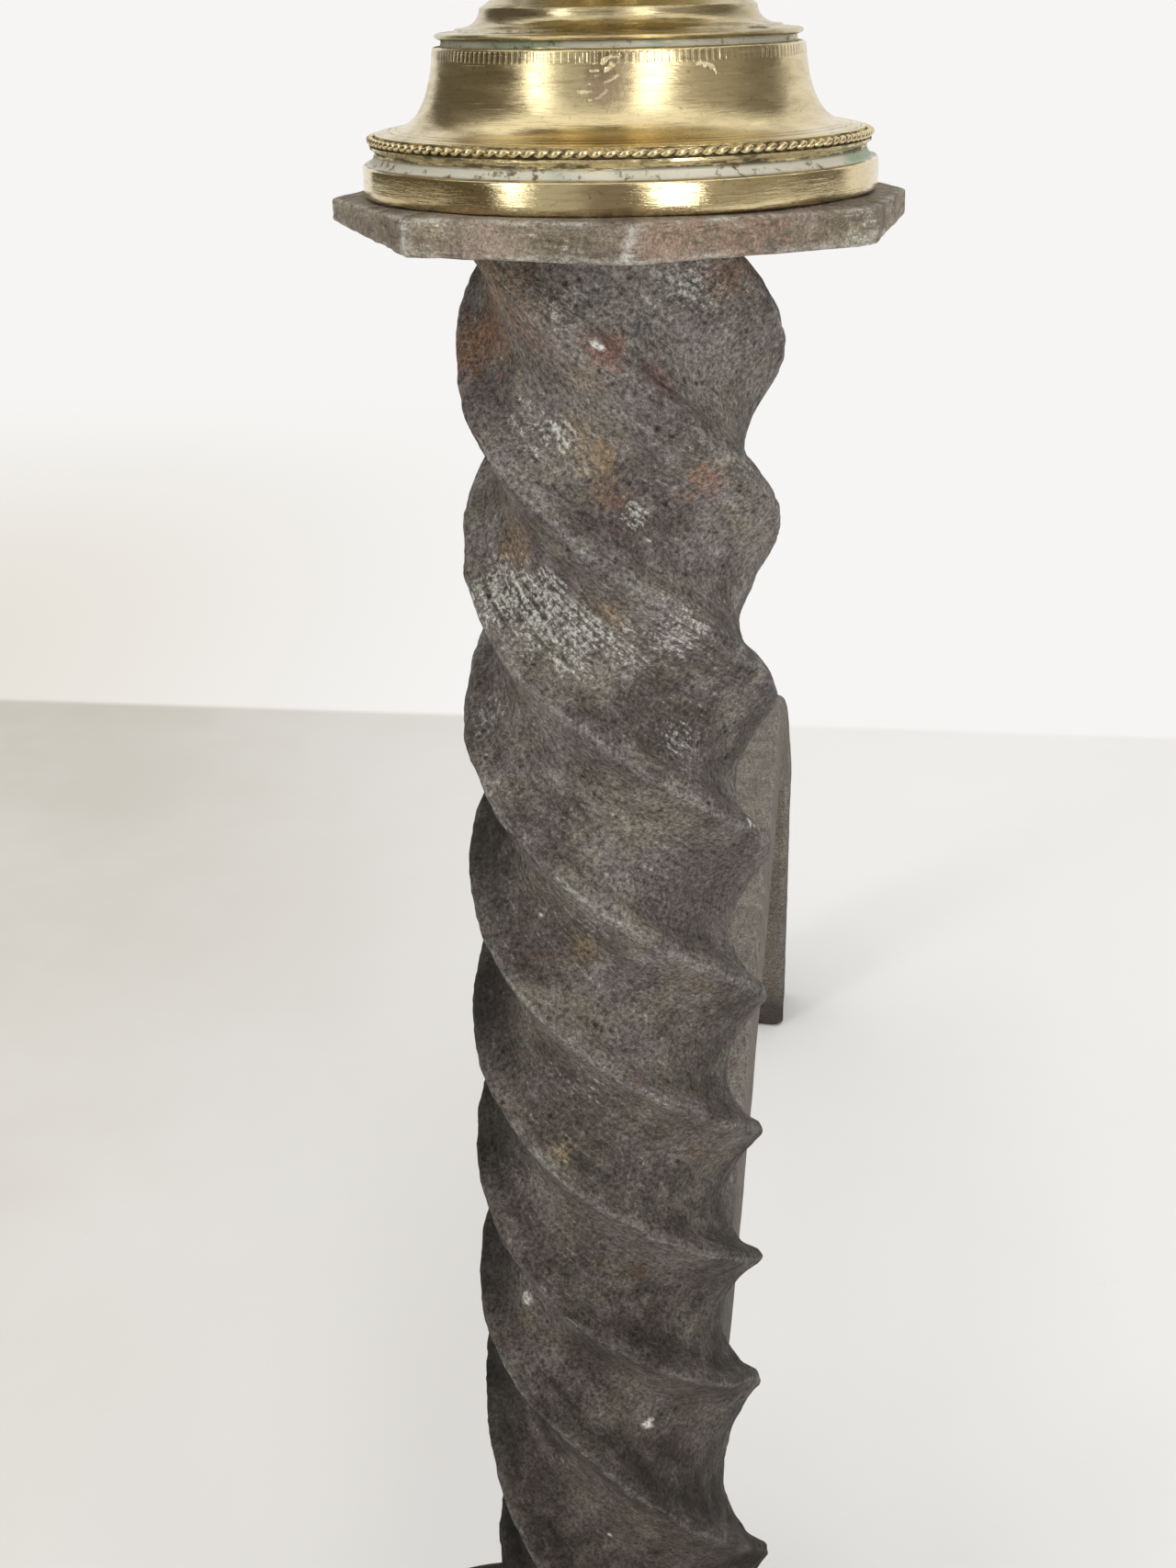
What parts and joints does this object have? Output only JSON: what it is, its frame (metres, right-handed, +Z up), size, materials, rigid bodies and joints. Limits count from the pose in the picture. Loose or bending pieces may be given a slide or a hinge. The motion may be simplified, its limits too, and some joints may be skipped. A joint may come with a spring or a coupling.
{
  "type": "andiron",
  "caption": "Fireplace andiron: twisted square iron upright under a turned brass finial, arched front legs, and a log bar that bends down into the rear leg.",
  "frame": {"origin": "on the floor, under the centre of the bounding box of the whole andiron", "axes": "+Z up along the upright, +Y back along the log bar, +X across the front legs, so that the front faces -Y"},
  "size_m": [0.248, 0.4854, 0.5695],
  "materials": {
    "wrought_iron": "old forged iron, dark grey-brown, pitted, with rust in patches",
    "plate_iron": "hand-cut iron plate, grey-brown, with pale worn edges",
    "rod_iron": "plain iron rod, screwed at both ends",
    "aged_brass": "turned and polished brass, aged, with fine scratches and dark recesses"
  },
  "bodies": {
    "andiron": {"front_legs": "wrought_iron", "upright": "wrought_iron", "rove_washer": "wrought_iron", "log_bar": "wrought_iron", "plate": "plate_iron", "tie_rod": "rod_iron", "finial_base": "aged_brass", "finial_neck": "aged_brass", "finial_bowl": "aged_brass", "finial_dome": "aged_brass", "finial_cap": "aged_brass"},
    "knob": {"top_knob": "aged_brass"}
  },
  "joints": [
    {"name": "knob_screw", "type": "hinge", "parent": "andiron", "child": "knob", "pos_m": [0.0018, -0.1993, 0.5244], "axis": [0, 0, 1], "continuous": true}
  ]
}
